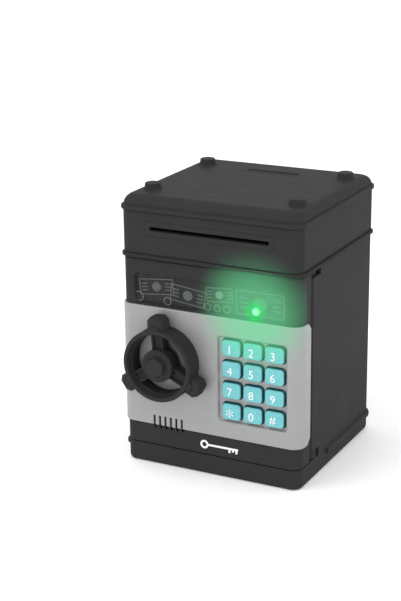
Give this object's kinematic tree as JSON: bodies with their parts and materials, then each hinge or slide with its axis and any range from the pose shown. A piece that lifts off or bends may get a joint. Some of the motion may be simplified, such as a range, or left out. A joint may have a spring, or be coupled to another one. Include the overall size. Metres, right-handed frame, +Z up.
{
  "type": "toy savings bank",
  "caption": "Box-shaped toy savings bank with a hinged door, keypad, hand wheel latch, motor-fed banknote slot and coin slot in the lid.",
  "frame": {"origin": "centre of the underside of the base, where the bank stands", "axes": "+Z up, -Y towards the front with the door and keypad, +X to the hinge side (the viewer's right)"},
  "size_m": [0.1232, 0.1363, 0.1776],
  "materials": {
    "charcoal_shell": "satin moulded ABS",
    "silver_plate": "silver-grey paint, satin",
    "turquoise_key": "satin silicone key with a white printed symbol",
    "smoked_window": "clear smoked acrylic",
    "relief_insert": "embossed with plain note and coin outlines",
    "green_led": "lit green lamp",
    "inner_plastic": "unpolished moulded ABS",
    "white_plastic": "natural acetal",
    "steel": "zinc plated",
    "rubber": "matt",
    "circuit_board": "solder mask over glass fibre",
    "coil_copper": "enamelled wire coil in a steel frame",
    "battery_wrap": "printed shrink sleeve"
  },
  "bodies": {
    "housing": {"base_plate": "charcoal_shell", "base_screw_1": "steel", "base_screw_2": "steel", "base_screw_3": "steel", "base_screw_4": "steel", "lower_housing": "charcoal_shell", "hinge_pin_lower": "steel", "hinge_pin_upper": "steel", "head_shell": "charcoal_shell", "note_slot_bezel": "charcoal_shell", "top_cover": "charcoal_shell", "coin_chute": "inner_plastic", "note_tray": "inner_plastic", "note_sensor": "circuit_board", "feeder_bracket_left": "inner_plastic", "feeder_bracket_right": "inner_plastic", "feed_motor": "steel", "drive_belt": "rubber"},
    "door": {"door_shell": "charcoal_shell", "faceplate": "silver_plate", "window_pane": "smoked_window", "window_insert": "relief_insert", "status_led": "green_led", "speaker": "inner_plastic", "keypad_mat": "rubber", "control_board": "circuit_board", "door_back_cover": "inner_plastic", "battery_1": "battery_wrap", "battery_2": "battery_wrap", "battery_3": "battery_wrap", "battery_cover": "inner_plastic", "battery_cover_screw": "steel", "solenoid": "coil_copper", "latch_cover": "inner_plastic"},
    "knob": {"knob_wheel": "charcoal_shell", "knob_bolt": "charcoal_shell", "knob_shaft": "white_plastic"},
    "latch": {"latch_bolt": "white_plastic"},
    "plunger": {"solenoid_plunger": "steel"},
    "feed": {"feed_shaft": "steel", "feed_roller_left": "rubber", "feed_roller_right": "rubber", "feed_pulley": "white_plastic"},
    "idler": {"idler_shaft": "steel", "idler_roller_left": "rubber", "idler_roller_right": "rubber"},
    "motor_drive": {"motor_pulley": "white_plastic"},
    "button_1": {"key_1": "turquoise_key"},
    "button_2": {"key_2": "turquoise_key"},
    "button_3": {"key_3": "turquoise_key"},
    "button_4": {"key_4": "turquoise_key"},
    "button_5": {"key_5": "turquoise_key"},
    "button_6": {"key_6": "turquoise_key"},
    "button_7": {"key_7": "turquoise_key"},
    "button_8": {"key_8": "turquoise_key"},
    "button_9": {"key_9": "turquoise_key"},
    "button_star": {"key_star": "turquoise_key"},
    "button_0": {"key_0": "turquoise_key"},
    "button_hash": {"key_hash": "turquoise_key"}
  },
  "joints": [
    {"name": "door_hinge", "type": "hinge", "parent": "housing", "child": "door", "pos_m": [0.054, -0.034, 0.074], "axis": [0, 0, 1], "range_deg": [0, 100]},
    {"name": "knob_turn", "type": "hinge", "parent": "door", "child": "knob", "pos_m": [-0.0288, -0.066, 0.072], "axis": [0, 1, 0], "range_deg": [0, 90]},
    {"name": "latch_slide", "type": "slide", "parent": "door", "child": "latch", "axis": [-1, 0, 0], "range_m": [0, 0.0072]},
    {"name": "plunger_slide", "type": "slide", "parent": "door", "child": "plunger", "axis": [0, 0, -1], "range_m": [0, 0.003], "stiffness_N_per_m": 30, "springref_m": -0.0006},
    {"name": "feed_spin", "type": "hinge", "parent": "housing", "child": "feed", "pos_m": [0, -0.038, 0.1484], "axis": [1, 0, 0], "continuous": true},
    {"name": "idler_spin", "type": "hinge", "parent": "housing", "child": "idler", "pos_m": [0, -0.038, 0.1586], "axis": [1, 0, 0], "continuous": true},
    {"name": "motor_spin", "type": "hinge", "parent": "housing", "child": "motor_drive", "pos_m": [0.047, 0.004, 0.1495], "axis": [1, 0, 0], "continuous": true},
    {"name": "press_1", "type": "slide", "parent": "door", "child": "button_1", "axis": [0, 1, 0], "range_m": [0, 0.0012], "stiffness_N_per_m": 250},
    {"name": "press_2", "type": "slide", "parent": "door", "child": "button_2", "axis": [0, 1, 0], "range_m": [0, 0.0012], "stiffness_N_per_m": 250},
    {"name": "press_3", "type": "slide", "parent": "door", "child": "button_3", "axis": [0, 1, 0], "range_m": [0, 0.0012], "stiffness_N_per_m": 250},
    {"name": "press_4", "type": "slide", "parent": "door", "child": "button_4", "axis": [0, 1, 0], "range_m": [0, 0.0012], "stiffness_N_per_m": 250},
    {"name": "press_5", "type": "slide", "parent": "door", "child": "button_5", "axis": [0, 1, 0], "range_m": [0, 0.0012], "stiffness_N_per_m": 250},
    {"name": "press_6", "type": "slide", "parent": "door", "child": "button_6", "axis": [0, 1, 0], "range_m": [0, 0.0012], "stiffness_N_per_m": 250},
    {"name": "press_7", "type": "slide", "parent": "door", "child": "button_7", "axis": [0, 1, 0], "range_m": [0, 0.0012], "stiffness_N_per_m": 250},
    {"name": "press_8", "type": "slide", "parent": "door", "child": "button_8", "axis": [0, 1, 0], "range_m": [0, 0.0012], "stiffness_N_per_m": 250},
    {"name": "press_9", "type": "slide", "parent": "door", "child": "button_9", "axis": [0, 1, 0], "range_m": [0, 0.0012], "stiffness_N_per_m": 250},
    {"name": "press_star", "type": "slide", "parent": "door", "child": "button_star", "axis": [0, 1, 0], "range_m": [0, 0.0012], "stiffness_N_per_m": 250},
    {"name": "press_0", "type": "slide", "parent": "door", "child": "button_0", "axis": [0, 1, 0], "range_m": [0, 0.0012], "stiffness_N_per_m": 250},
    {"name": "press_hash", "type": "slide", "parent": "door", "child": "button_hash", "axis": [0, 1, 0], "range_m": [0, 0.0012], "stiffness_N_per_m": 250}
  ],
  "couplings": [
    {"joint": "latch_slide", "follows": "knob_turn", "m_per_rad": 0.0045},
    {"joint": "idler_spin", "follows": "feed_spin", "ratio": -1.375},
    {"joint": "motor_spin", "follows": "feed_spin", "ratio": 2.3333}
  ]
}
